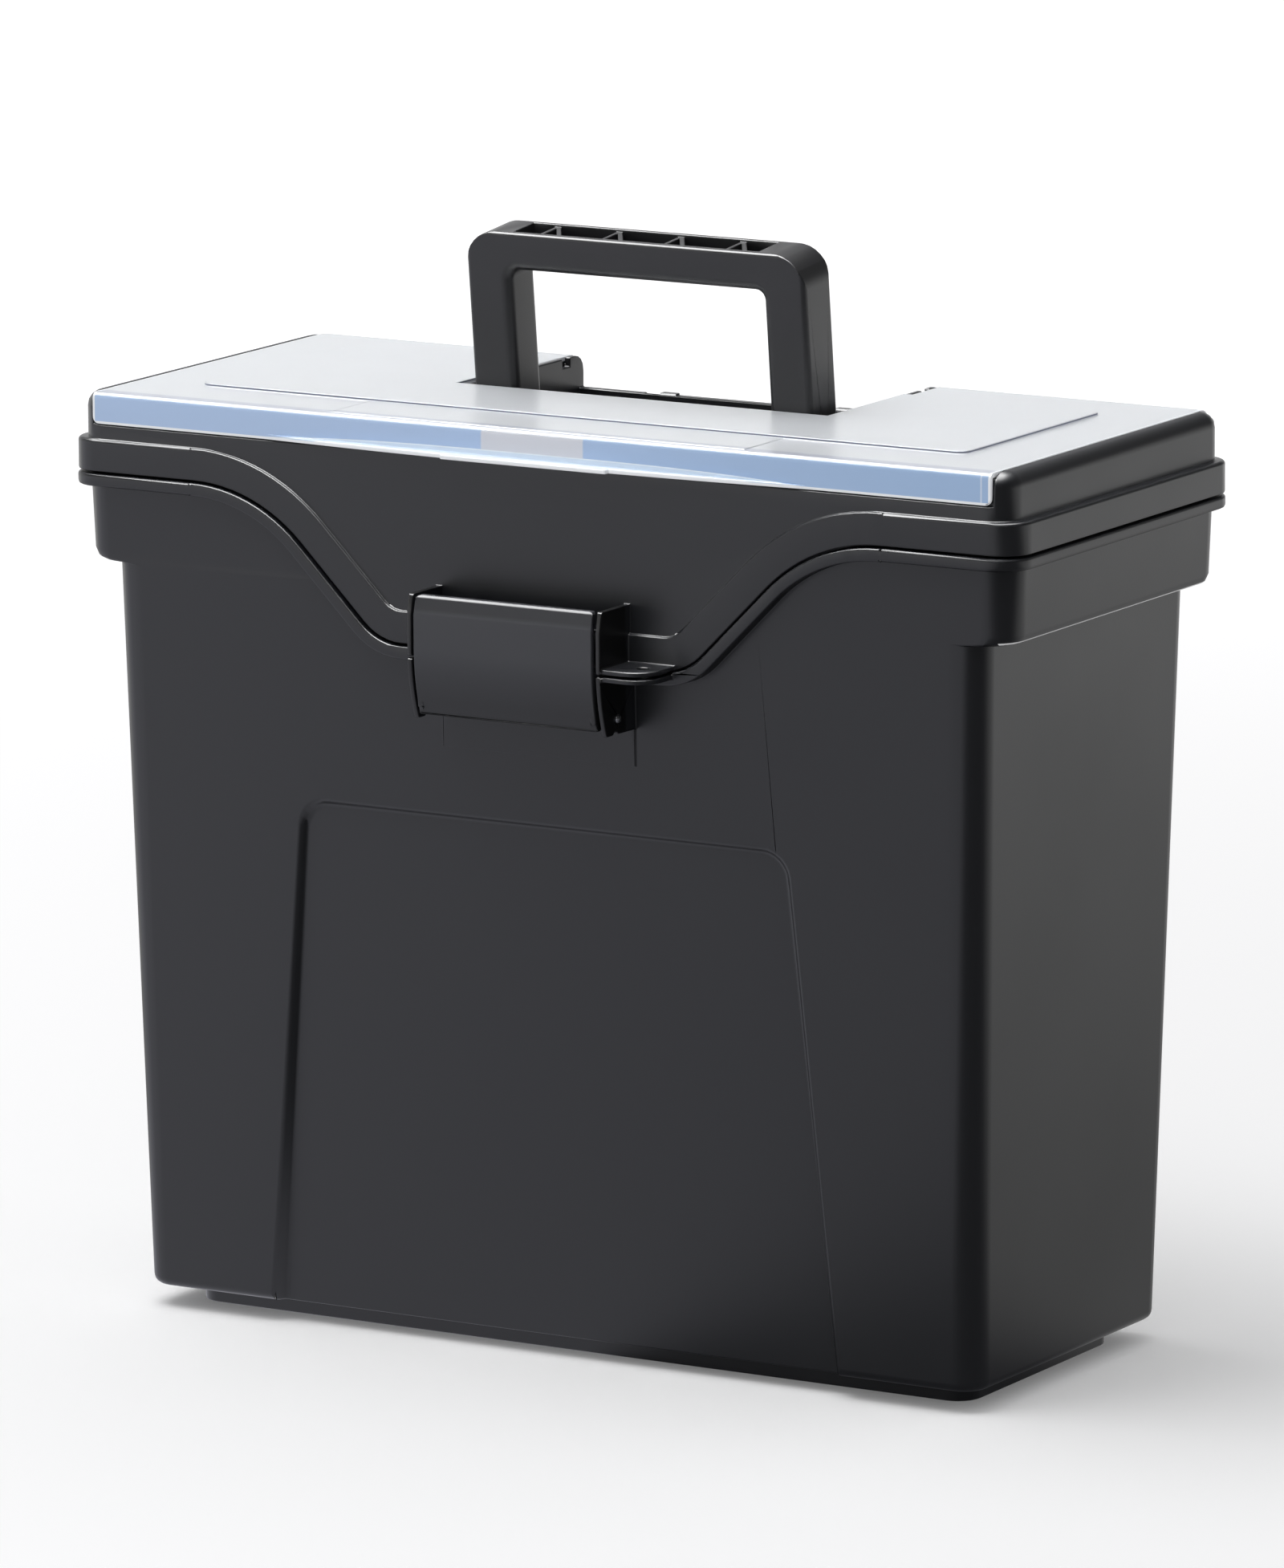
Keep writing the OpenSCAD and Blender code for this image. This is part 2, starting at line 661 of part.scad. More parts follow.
// Outline of the opening between the legs, enlarged by g
function opening_outline(g) = let (half = handle_w / 2 - leg_w + g, top = handle_len - grip_h + g,
  r = opening_corner_r + g)
  concat([[half, -far / 7]], arc(half - r, top - r, r, 0, 90, 5), arc(r - half, top - r, r, 90, 180, 5),
    [[-half, -far / 7]]);

// The opening widens towards both faces of the handle, which rounds every edge that the fingers touch
module bail_opening() {
  r = opening_edge_r;
  half = handle_t / 2;
  function widening(a) = r * (1 - sin(a));
  function set_back(a) = r * (1 - cos(a));
  levels = concat([[half + 1, r]],
    [for (a = [0 : 22.5 : 90]) [half - set_back(a), widening(a)]],
    [for (a = [90 : -22.5 : 0]) [set_back(a) - half, widening(a)]],
    [[-half - 1, r]]);
  skin([for (s = levels) [for (p = opening_outline(s[1])) [p[0], s[0], p[1]]]]);
}

// Cross rib and slanting rib that stiffen the open top of the grip, repeated along it
module grip_truss() {
  top = handle_len - 0.8;
  bottom = handle_len - pocket_depth - 0.5;
  reach = pocket_half_d + 0.5;
  for (i = [0 : 3]) {
    x = truss_start_x + i * truss_pitch;
    foot_x = x + truss_lean;
    block(x - truss_t / 2, x + truss_t / 2, -reach, reach, bottom, top);
    translate([0, 0, bottom]) linear_extrude(top - bottom) polygon([[x - truss_t / 2, reach],
      [x + truss_t, reach], [foot_x + truss_t, -reach], [foot_x - truss_t / 2, -reach]]);
  }
}

module handle() color(grip_colour) translate([0, pivot_y, pivot_z]) rotate([handle_lean, 0, 0]) {
  difference() {
    intersection() {
      along_y(-handle_t, handle_t) bail_outline();
      along_x(-handle_w, handle_w) bail_side();
      translate([0, 0, -far / 4]) linear_extrude(far) polygon(rounded(handle_w, handle_t, leg_edge_r));
    }
    bail_opening();
    block(-pocket_half_w, pocket_half_w, -pocket_half_d, pocket_half_d, handle_len - pocket_depth, far);
    both_sides() rod_x(handle_w / 2 - 7.5, handle_w, 0, 0, handle_pin_r + running);
  }
  grip_truss();
}

// --- Latch --------------------------------------------------------------------------------

// Front face of the latch at height z: flat, bevelled at the top and curving in towards its foot
function latch_y(z) = -latch_face
  + (z < latch_bend_z ? latch_bend_r - sqrt(pow(latch_bend_r, 2) - pow(latch_bend_z - z, 2)) : 0)
  + (z > latch_top_z - latch_bevel_h ? latch_bevel * (z - latch_top_z + latch_bevel_h) / latch_bevel_h : 0);

// Section of the plate
module latch_section() {
  steps = 8;
  fold_z = latch_top_z - latch_bevel_h;
  edge = [[latch_y(latch_top_z) + 0.7, latch_top_z], [latch_y(latch_top_z - 0.6), latch_top_z - 0.7]];
  curve = [for (i = [0 : steps]) let (z = latch_bend_z + (latch_bottom_z - latch_bend_z) * i / steps)
    [latch_y(z), z]];
  face = concat(edge, [[latch_y(fold_z), fold_z]], curve);
  polygon(concat(face, [for (p = reversed(face)) [p[0] + latch_wall, p[1]]]));
}

// Plate with its upper corners rounded in the front view
module latch_plate() {
  half = latch_half_w;
  r = latch_corner_r;
  corner_z = latch_top_z - latch_bevel_h - r;
  intersection() {
    along_x(-half, half) latch_section();
    along_y(-latch_face - 1, 0) polygon(concat(
      [[-half - 1, 0], [half + 1, 0], [half + 1, corner_z], [half, corner_z]],
      arc(half - r, latch_top_z - r, r, 0, 90, 6), arc(r - half, latch_top_z - r, r, 90, 180, 6),
      [[-half, corner_z], [-half - 1, corner_z]]));
  }
}

// Hook behind the plate, which snaps over the lid's ridge
module latch_hook() {
  root_y = -latch_face + latch_wall * 0.65;
  tip_y = -80.4;
  top = latch_top_z - 4.2;
  along_x(-hook_half_w, hook_half_w) polygon([[root_y, top], [tip_y - 0.2, top - 0.8], [tip_y, top - 3.2],
    [tip_y - 1.4, top - 3.2], [tip_y - 2, top - 2.2], [root_y, top - 1.6]]);
}

// Foot that joins the plate to its barrel, over the whole width
module latch_foot() {
  toe_y = -85.5;
  z = latch_pin_z;
  along_x(-latch_half_w, latch_half_w) polygon([[toe_y, latch_bottom_z + 0.3],
    [latch_pin_y, z - latch_barrel_r + 0.2], [latch_pin_y, z - 1.4], [toe_y + 0.3, latch_bottom_z + 2.3]]);
}

// End webs between the plate and the barrel
module latch_webs() {
  t = 1.8;
  y = latch_pin_y;
  z = latch_pin_z;
  both_sides() along_x(latch_half_w - t, latch_half_w) polygon([[y - 8.4, z - 1], [y, z - 2],
    [y + 2.6, z + 2], [y - 6, z + 14], [y - 9.5, z + 16]]);
}

module latch() color(body_colour) difference() {
  union() {
    latch_plate();
    rod_x(-latch_half_w, latch_half_w, latch_pin_y, latch_pin_z, latch_barrel_r);
    latch_foot();
    latch_webs();
    latch_hook();
  }
  rod_x(-latch_half_w - 1, latch_half_w + 1, latch_pin_y, latch_pin_z, latch_pin_r + running);
}

// --- Pins ---------------------------------------------------------------------------------

module latch_pin() color(steel_colour) rod_x(-latch_half_w - cheek_gap - cheek_t - 0.2,
  latch_half_w + cheek_gap + cheek_t + 0.2, latch_pin_y, latch_pin_z, latch_pin_r);

module hinge_pin(side) color(steel_colour)
  rod_x(side * hinge_x - ear_out, side * hinge_x + ear_out, hinge_y, hinge_z, hinge_pin_r);

module handle_pin(side) color(steel_colour) mirror([side > 0 ? 0 : 1, 0, 0])
  rod_x(handle_w / 2 - 7, bed_half_w + bed_wall - 0.3, pivot_y, pivot_z, handle_pin_r);

module cover_pin(side, x0, x1) color(steel_colour) mirror([side > 0 ? 0 : 1, 0, 0])
  rod_x(x0, x1, roll_y, roll_z, cover_pin_r, 32);
module cover_pin_inner(side) cover_pin(side, bed_half_w + pin_end_wall + 0.1, wing_in + disc_t);
module cover_pin_outer(side) cover_pin(side, cover_half_w - disc_t, cheek_in + 3.2);

tub();
lid();
organizer_cover();
handle();
latch();
latch_pin();
hinge_pin(-1);  // hinge_pin_left
hinge_pin(1);  // hinge_pin_right
handle_pin(-1);  // handle_pin_left
handle_pin(1);  // handle_pin_right
cover_pin_outer(-1);  // cover_pin_left_outer
cover_pin_inner(-1);  // cover_pin_left_inner
cover_pin_inner(1);  // cover_pin_right_inner
cover_pin_outer(1);  // cover_pin_right_outer
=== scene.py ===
# %% [markdown]
# # A portable file box
#
# A black polypropylene tub for hanging folders, an organizer lid under a milky see-through cover, a folding
# handle and a front latch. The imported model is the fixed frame: it holds every size, joint and pin. This
# notebook gives each moulding the soft edges, grain and gloss of the real one, and lights it like a studio
# photograph. Blender works in metres here, with X across the front, Y from front to back and Z up.

import math

import bmesh
import bpy
from mathutils import Matrix, Vector


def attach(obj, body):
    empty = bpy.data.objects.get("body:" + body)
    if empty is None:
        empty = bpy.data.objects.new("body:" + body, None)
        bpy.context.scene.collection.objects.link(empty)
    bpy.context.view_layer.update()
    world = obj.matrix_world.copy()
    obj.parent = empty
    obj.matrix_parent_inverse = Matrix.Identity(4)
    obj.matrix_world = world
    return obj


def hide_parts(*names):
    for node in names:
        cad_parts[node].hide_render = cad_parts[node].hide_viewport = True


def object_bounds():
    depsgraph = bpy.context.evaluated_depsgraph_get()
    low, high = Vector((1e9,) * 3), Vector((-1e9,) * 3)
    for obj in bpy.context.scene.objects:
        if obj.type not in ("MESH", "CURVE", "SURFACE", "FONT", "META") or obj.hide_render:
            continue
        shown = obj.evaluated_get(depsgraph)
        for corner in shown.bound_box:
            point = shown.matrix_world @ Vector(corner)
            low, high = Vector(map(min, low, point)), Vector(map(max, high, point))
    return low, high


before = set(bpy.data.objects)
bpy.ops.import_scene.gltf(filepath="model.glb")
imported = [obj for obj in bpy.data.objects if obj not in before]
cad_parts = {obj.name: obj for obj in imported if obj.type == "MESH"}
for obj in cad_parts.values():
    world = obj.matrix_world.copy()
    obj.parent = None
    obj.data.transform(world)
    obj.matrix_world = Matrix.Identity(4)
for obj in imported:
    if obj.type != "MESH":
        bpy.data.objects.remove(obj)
cad_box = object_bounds()
MM = 0.001
print("nodes:", sorted(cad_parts))

# %% [markdown]
# ## The camera
#
# The photograph was taken from the right and a little above with a long lens, from nearly four metres away.
# A long lens keeps the box's upright edges almost parallel, so the place of the camera matters more than its
# lens: the place is copied from the photograph's own perspective, and the lens only fills the frame.

# %% Camera
CAMERA_PLACE = Vector((1.8475, -3.1486, 0.884))
CAMERA_ROLL = math.radians(-0.25)
IMAGE_SIZE = (1600, 1954)
BOX_SHARE_OF_WIDTH = 0.885
BOX_WIDTH_SEEN = 0.3565  # metres, square to the line of sight
SENSOR_MM = 36.0
FARTHEST_SEEN = 50


def bounds_centre(box):
    low, high = Vector(box[0]), Vector(box[1])
    return (low + high) / 2


def add_camera(aim):
    data = bpy.data.cameras.new("studio_camera")
    camera = bpy.data.objects.new("studio_camera", data)
    bpy.context.scene.collection.objects.link(camera)
    camera.location = CAMERA_PLACE
    turn = (aim - CAMERA_PLACE).to_track_quat("-Z", "Y").to_matrix()
    camera.rotation_euler = (turn @ Matrix.Rotation(CAMERA_ROLL, 3, "Z")).to_euler()
    # The sensor's width stands for the longer side of an upright picture, which is its height
    data.sensor_width = SENSOR_MM
    width_share = IMAGE_SIZE[0] / IMAGE_SIZE[1]
    distance = (aim - CAMERA_PLACE).length
    data.lens = SENSOR_MM * width_share * BOX_SHARE_OF_WIDTH * distance / BOX_WIDTH_SEEN
    data.clip_end = FARTHEST_SEEN
    bpy.context.scene.camera = camera
    return camera


middle = bounds_centre(cad_box)
camera = add_camera(middle)
print("lens:", round(camera.data.lens, 1), "mm")

# %% [markdown]
# ## Colours and nodes
#
# Colours are written as sRGB hex, as a colour picker shows them, and one function turns them into the linear
# values that shaders mix. One more function adds a shader node with its settings and links, so each material
# below reads as a short list of what it does.


# %% Helpers for materials
WHITE = (1, 1, 1, 1)
# Settings that many nodes share
SMOOTH = {"interpolation_type": "SMOOTHSTEP"}
DOT = {"operation": "DOT_PRODUCT"}
ADD = {"operation": "ADD"}
MULTIPLY = {"operation": "MULTIPLY"}
MULTIPLY_ADD = {"operation": "MULTIPLY_ADD"}
MAXIMUM = {"operation": "MAXIMUM"}
COLOUR = {"data_type": "RGBA"}


def linear(hex_colour):
    channels = [int(hex_colour[i:i + 2], 16) / 255 for i in (1, 3, 5)]
    return tuple(c / 12.92 if c <= 0.04045 else ((c + 0.055) / 1.055) ** 2.4 for c in channels) + (1.0,)


def add_node(tree, kind, settings=None, **inputs):
    """Add a node. settings are its properties; inputs are sockets, given a value or another node's output."""
    node = tree.nodes.new(kind)
    for name, value in (settings or {}).items():
        setattr(node, name, value)
    for name, value in inputs.items():
        key = int(name[1:]) if name[0] == "_" else name.replace("_", " ")
        socket = node.inputs[key]
        if isinstance(value, bpy.types.NodeSocket):
            tree.links.new(value, socket)
        else:
            socket.default_value = value
    return node


def new_material(name):
    material = bpy.data.materials.new(name)
    material.use_nodes = True
    tree = material.node_tree
    tree.nodes.clear()
    return material, tree


def finish_material(tree, shader):
    out = add_node(tree, "ShaderNodeOutputMaterial")
    tree.links.new(shader.outputs[0], out.inputs["Surface"])


print("black as linear:", [round(c, 4) for c in linear("#17181B")[:3]])

# %% [markdown]
# ## The studio
#
# Black satin plastic shows the room rather than its own colour, so the room is built for its reflections. The
# front mirrors the floor on the left, which grows a little dimmer and stays cool towards the right; the right
# side mirrors the floor behind at a shallow angle, brighter the farther it is, as far as the paper reaches;
# the rounded corners between them mirror the dark wedge of the room beside the camera; faces that tilt up a
# little mirror the bright horizon in front; and the rolled edges mirror a round bright light overhead. All
# this is for glossy rays only. What lights the colours is an even room and one large soft lamp, at a level
# where a colour renders about as it is written, and the camera sees a white backdrop.

# %% World
ROOM_LEVEL = 0.6
WEDGE_DIRECTION = (0.84, -0.54, 0.0)
WEDGE_CONE = (0.55, 0.92)  # cosines from its middle line, where the wedge starts and where it is darkest
WEDGE_LEVEL = 0.14
OVERHEAD_DIRECTION = (-0.17, -0.08, 0.98)
OVERHEAD_CONE = (0.79, 0.89)  # cosines, as above
OVERHEAD_BRIGHTNESS = 22.0
# The rest are parts of a direction of length 1, from where a shade starts to where it is full
CEILING_Z = (0.2, 0.4)
CEILING_LEVEL = 0.15
RIGHT_X = (-0.2, 0.15)
RIGHT_CEILING_DROP = 0.26   # towards the right the ceiling hangs this much lower
FRONT_Y = (-0.4, -0.7)
HORIZON_Z = (0.17, 0.09)
HORIZON_GAIN = (-0.3, 1.0)  # added to 1 in front: above those heights, and along the horizon


def wedge_shade(tree, direction):
    """The dark wedge to the right of the camera, which room and floor share."""
    facing = add_node(tree, "ShaderNodeVectorMath", DOT, _0=direction, _1=WEDGE_DIRECTION)
    return add_node(tree, "ShaderNodeMapRange", SMOOTH, Value=facing.outputs["Value"], From_Min=WEDGE_CONE[0],
                    From_Max=WEDGE_CONE[1], To_Min=1.0, To_Max=WEDGE_LEVEL).outputs[0]


def room_brightness(tree, direction):
    """The room in a direction: pale, with a dark wedge, a dim ceiling and a bright horizon in front."""
    parts = add_node(tree, "ShaderNodeSeparateXYZ", _0=direction).outputs
    drop = add_node(tree, "ShaderNodeMapRange", SMOOTH, Value=parts["X"], From_Min=RIGHT_X[0],
                    From_Max=RIGHT_X[1], To_Max=RIGHT_CEILING_DROP)
    height = add_node(tree, "ShaderNodeMath", ADD, _0=parts["Z"], _1=drop.outputs[0])
    ceiling = add_node(tree, "ShaderNodeMapRange", SMOOTH, Value=height.outputs[0], From_Min=CEILING_Z[0],
                       From_Max=CEILING_Z[1], To_Min=1.0, To_Max=CEILING_LEVEL)
    front = add_node(tree, "ShaderNodeMapRange", SMOOTH, Value=parts["Y"], From_Min=FRONT_Y[0],
                     From_Max=FRONT_Y[1])
    low = add_node(tree, "ShaderNodeMapRange", SMOOTH, Value=parts["Z"], From_Min=HORIZON_Z[0],
                   From_Max=HORIZON_Z[1], To_Min=HORIZON_GAIN[0], To_Max=HORIZON_GAIN[1])
    horizon = add_node(tree, "ShaderNodeMath", MULTIPLY_ADD, _0=front.outputs[0], _1=low.outputs[0], _2=1.0)
    shade = add_node(tree, "ShaderNodeMath", MULTIPLY, _0=wedge_shade(tree, direction), _1=ceiling.outputs[0])
    return add_node(tree, "ShaderNodeMath", MULTIPLY, _0=shade.outputs[0], _1=horizon.outputs[0]).outputs[0]


def overhead_light(tree, direction):
    facing = add_node(tree, "ShaderNodeVectorMath", DOT, _0=direction, _1=OVERHEAD_DIRECTION)
    return add_node(tree, "ShaderNodeMapRange", SMOOTH, Value=facing.outputs["Value"],
                    From_Min=OVERHEAD_CONE[0], From_Max=OVERHEAD_CONE[1],
                    To_Max=OVERHEAD_BRIGHTNESS).outputs[0]


def add_world():
    world = bpy.data.worlds.new("studio")
    world.use_nodes = True
    tree = world.node_tree
    tree.nodes.clear()
    direction = add_node(tree, "ShaderNodeTexCoord").outputs["Generated"]
    rays = add_node(tree, "ShaderNodeLightPath").outputs
    mirrored = add_node(tree, "ShaderNodeMath", ADD, _0=room_brightness(tree, direction),
                        _1=overhead_light(tree, direction))
    plain = add_node(tree, "ShaderNodeBackground", Color=WHITE, Strength=ROOM_LEVEL)
    room = add_node(tree, "ShaderNodeBackground", Color=mirrored.outputs[0], Strength=1.0)
    white = add_node(tree, "ShaderNodeBackground", Color=WHITE, Strength=1.0)
    glossy = add_node(tree, "ShaderNodeMixShader", _0=rays["Is Glossy Ray"], _1=plain.outputs[0],
                      _2=room.outputs[0])
    seen = add_node(tree, "ShaderNodeMixShader", _0=rays["Is Camera Ray"], _1=glossy.outputs[0],
                    _2=white.outputs[0])
    out = add_node(tree, "ShaderNodeOutputWorld")
    tree.links.new(seen.outputs[0], out.inputs["Surface"])
    bpy.context.scene.world = world
    return world


world = add_world()
bpy.context.scene.view_settings.view_transform = "Standard"
print("world:", world.name, "with", len(world.node_tree.nodes), "nodes")

# %% Lamp
SOFTBOX_PLACE = (-0.5, -0.35, 1.7)
SOFTBOX_SIZE = (1.5, 1.1)
SOFTBOX_WATTS = 15


def add_lamp(name, place, aim, size, power):
    data = bpy.data.lights.new(name, "AREA")
    data.shape = "RECTANGLE"
    data.size, data.size_y = size
    data.energy = power
    lamp = bpy.data.objects.new(name, data)
    bpy.context.scene.collection.objects.link(lamp)
    lamp.location = place
    lamp.rotation_euler = (Vector(aim) - Vector(place)).to_track_quat("-Z", "Y").to_euler()
    return lamp


softbox = add_lamp("overhead_softbox", SOFTBOX_PLACE, middle, SOFTBOX_SIZE, SOFTBOX_WATTS)
print("lamp:", softbox.name)

# %% [markdown]
# ## The floor
#
# The floor is white paper. It keeps the box's shadow near the box, and glows towards white farther away, for
# the camera only. Glossy rays see the pattern of light that the photograph's plastic mirrors: before the box
# a ramp from left to right, and behind it a ramp over the squared distance, up to where the paper ends.

# %% Floor
PAPER = "#F4F4F5"
PAPER_HALF_SIDE = 6.0
GLOW_REACH = (0.3, 2.5)        # metres from the middle of the box's foot
GLOW_LEVELS = (0.1, 0.6)
FRONT_RAMP_DIRECTION = (0.863, -0.505, 0.0)
FRONT_RAMP = (-0.15, 0.13)     # metres along that direction
FRONT_LEVELS = (1.04, 0.68)
FRONT_TINT = (0.97, 0.975, 1.08, 1)
BACK_RAMP_END = 3.2            # square metres: this and the paper's end are squared distances
BACK_LEVELS = (0.5, 1.5)
PAPER_END = (3.7, 5.4)
BEYOND_PAPER_LEVEL = 0.55
FRONT_TO_BACK = (-0.05, 0.05)  # the Y over which the front's pattern turns into the back's


def floor_glow(tree, place):
    """What glossy rays see on the floor."""
    direction = add_node(tree, "ShaderNodeVectorMath", {"operation": "NORMALIZE"}, _0=place)
    shade = wedge_shade(tree, direction.outputs[0])
    across = add_node(tree, "ShaderNodeVectorMath", DOT, _0=place, _1=FRONT_RAMP_DIRECTION)
    front = add_node(tree, "ShaderNodeMapRange", Value=across.outputs["Value"], From_Min=FRONT_RAMP[0],
                     From_Max=FRONT_RAMP[1], To_Min=FRONT_LEVELS[0], To_Max=FRONT_LEVELS[1])
    squared = add_node(tree, "ShaderNodeVectorMath", DOT, _0=place, _1=place).outputs["Value"]
    ramp = add_node(tree, "ShaderNodeMapRange", Value=squared, From_Max=BACK_RAMP_END,
                    To_Min=BACK_LEVELS[0], To_Max=BACK_LEVELS[1])
    paper_end = add_node(tree, "ShaderNodeMapRange", SMOOTH, Value=squared, From_Min=PAPER_END[0],
                         From_Max=PAPER_END[1], To_Min=1.0, To_Max=BEYOND_PAPER_LEVEL)
    back = add_node(tree, "ShaderNodeMath", MULTIPLY, _0=ramp.outputs[0], _1=paper_end.outputs[0])
    parts = add_node(tree, "ShaderNodeSeparateXYZ", _0=place).outputs
    behind = add_node(tree, "ShaderNodeMapRange", Value=parts["Y"], From_Min=FRONT_TO_BACK[0],
                      From_Max=FRONT_TO_BACK[1])
    level = add_node(tree, "ShaderNodeMix", _0=behind.outputs[0], _2=front.outputs[0], _3=back.outputs[0])
    tint = add_node(tree, "ShaderNodeMix", COLOUR, _0=behind.outputs[0], _6=FRONT_TINT, _7=WHITE)
    lit = add_node(tree, "ShaderNodeMath", MULTIPLY, _0=level.outputs[0], _1=shade)
    return add_node(tree, "ShaderNodeEmission", Color=tint.outputs[2], Strength=lit.outputs[0])


def floor_material():
    material, tree = new_material("seamless_white_paper")
    paper = add_node(tree, "ShaderNodeBsdfDiffuse", Color=linear(PAPER))
    place = add_node(tree, "ShaderNodeNewGeometry").outputs["Position"]
    reach = add_node(tree, "ShaderNodeVectorMath", {"operation": "LENGTH"}, _0=place)
    far_away = add_node(tree, "ShaderNodeMapRange", SMOOTH, Value=reach.outputs["Value"],
                        From_Min=GLOW_REACH[0], From_Max=GLOW_REACH[1],
                        To_Min=GLOW_LEVELS[0], To_Max=GLOW_LEVELS[1])
    lift = add_node(tree, "ShaderNodeEmission", Color=WHITE, Strength=far_away.outputs[0])
    lit = add_node(tree, "ShaderNodeAddShader", _0=paper.outputs[0], _1=lift.outputs[0])
    rays = add_node(tree, "ShaderNodeLightPath").outputs
    seen = add_node(tree, "ShaderNodeMixShader", _0=rays["Is Camera Ray"], _1=paper.outputs[0],
                    _2=lit.outputs[0])
    both = add_node(tree, "ShaderNodeMixShader", _0=rays["Is Glossy Ray"], _1=seen.outputs[0],
                    _2=floor_glow(tree, place).outputs[0])
    finish_material(tree, both)
    return material


def add_floor():
    mesh = bpy.data.meshes.new("floor")
    side = PAPER_HALF_SIDE
    corners = [(-side, -side, 0), (side, -side, 0), (side, side, 0), (-side, side, 0)]
    mesh.from_pydata(corners, [], [(0, 1, 2, 3)])
    floor = bpy.data.objects.new("floor", mesh)
    bpy.context.scene.collection.objects.link(floor)
    mesh.materials.append(floor_material())
    return floor


floor = add_floor()
print("floor:", 2 * PAPER_HALF_SIDE, "m of", floor.data.materials[0].name)

# %% [markdown]
# ## Painted light and shade
#
# A few lines of light and shade on the mouldings are too thin or too soft to model, so they are painted: laid
# over the base colour where a mask is 1. A mask covers a range of millimetres in one direction and fades out
# at both ends, and masks multiplied give a box. All its places are measured on the part, so a painted shade
# moves with its piece.


# %% Helpers for shades
def between(tree, value, low_mm, high_mm, soft_mm=0.15):
    """Mask that is 1 where the value lies between two heights or places, with soft ends."""
    rise = add_node(tree, "ShaderNodeMapRange", Value=value, From_Min=(low_mm - soft_mm) * MM,
                    From_Max=low_mm * MM)
    fall = add_node(tree, "ShaderNodeMapRange", Value=value, From_Min=high_mm * MM,
                    From_Max=(high_mm + soft_mm) * MM, To_Min=1.0, To_Max=0.0)
    return add_node(tree, "ShaderNodeMath", MULTIPLY, _0=rise.outputs[0], _1=fall.outputs[0]).outputs[0]


def painted(tree, colour, mask, over, strength=1.0):
    """Lay a colour over another one where the mask is 1."""
    amount = add_node(tree, "ShaderNodeMath", MULTIPLY, _0=mask, _1=strength)
    return add_node(tree, "ShaderNodeMix", COLOUR, _0=amount.outputs[0], _6=colour, _7=linear(over)).outputs[2]


def places(tree):
    """A point on the part, its X, Y and Z, and its distance from the middle plane."""
    place = add_node(tree, "ShaderNodeTexCoord").outputs["Object"]
    at = add_node(tree, "ShaderNodeSeparateXYZ", _0=place).outputs
    off_centre = add_node(tree, "ShaderNodeMath", {"operation": "ABSOLUTE"}, _0=at["X"]).outputs[0]
    return place, at, off_centre


print("shades:", [helper.__name__ for helper in (between, painted, places)])

# %% [markdown]
# ## Black polypropylene
#
# The tub, lid, latch and handle are injection-moulded polypropylene, coloured through with carbon black. The
# steel of the mould is spark-eroded, which leaves a fine satin grain. Its index of refraction is about 1.49.
# The grain is about 0.1 mm on the real box, which would be finer than a pixel here, so the noise is drawn at
# about half a millimetre, and a second, broad noise lets the gloss wander a little as it does where
# the melt flowed at different speeds.
#
# A few places have painted light and shade. A thin painted highlight runs along the collar's lower edge, where
# it catches a line of light. The sides of the latch's cheeks lie behind the plate, in shade, which is painted
# near black. The latch has painted shade near its foot and along its top, where its plate curves away from
# the light.

# %% Material for the mouldings
POLYPROPYLENE_IOR = 1.49
GRAIN_MM = 0.55
FLOW_MM = 70
GLOSS_WANDER = 0.03
NOISE_MIDDLE = (0.3, 0.7)  # the range in which nearly all values of the noise lie
COLLAR_FOOT_MM = 241.0     # height of the tub's shoulder, where its collar starts


def moulded_polypropylene(name, colour, roughness, shades=(), grain_depth_mm=0.012):
    """shades are painted light and shade: (colour, soft_mm, then from and to in mm of the distance from the
    middle, of Y and of Z).
    """
    material, tree = new_material(name)
    place, at, off_centre = places(tree)
    base = linear(colour)
    for shade, soft_mm, across_mm, deep_mm, high_mm in shades:
        box = add_node(tree, "ShaderNodeMath", MULTIPLY, _0=between(tree, off_centre, *across_mm),
                       _1=between(tree, at["Y"], *deep_mm))
        box = add_node(tree, "ShaderNodeMath", MULTIPLY, _0=box.outputs[0],
                       _1=between(tree, at["Z"], *high_mm, soft_mm))
        base = painted(tree, base, box.outputs[0], shade)
    grain = add_node(tree, "ShaderNodeTexNoise", Vector=place, Scale=1 / (GRAIN_MM * MM), Detail=2.0,
                     Roughness=0.6)
    flow = add_node(tree, "ShaderNodeTexNoise", Vector=place, Scale=1 / (FLOW_MM * MM), Detail=3.0,
                    Roughness=0.5)
    gloss = add_node(tree, "ShaderNodeMapRange", Value=flow.outputs["Fac"],
                     From_Min=NOISE_MIDDLE[0], From_Max=NOISE_MIDDLE[1],
                     To_Min=roughness - GLOSS_WANDER, To_Max=roughness + GLOSS_WANDER)
    bump = add_node(tree, "ShaderNodeBump", Height=grain.outputs["Fac"], Strength=1.0,
                    Distance=grain_depth_mm * MM)
    shader = add_node(tree, "ShaderNodeBsdfPrincipled", Base_Color=base, Roughness=gloss.outputs[0],
                      IOR=POLYPROPYLENE_IOR, Normal=bump.outputs["Normal"])
    finish_material(tree, shader)
    return material
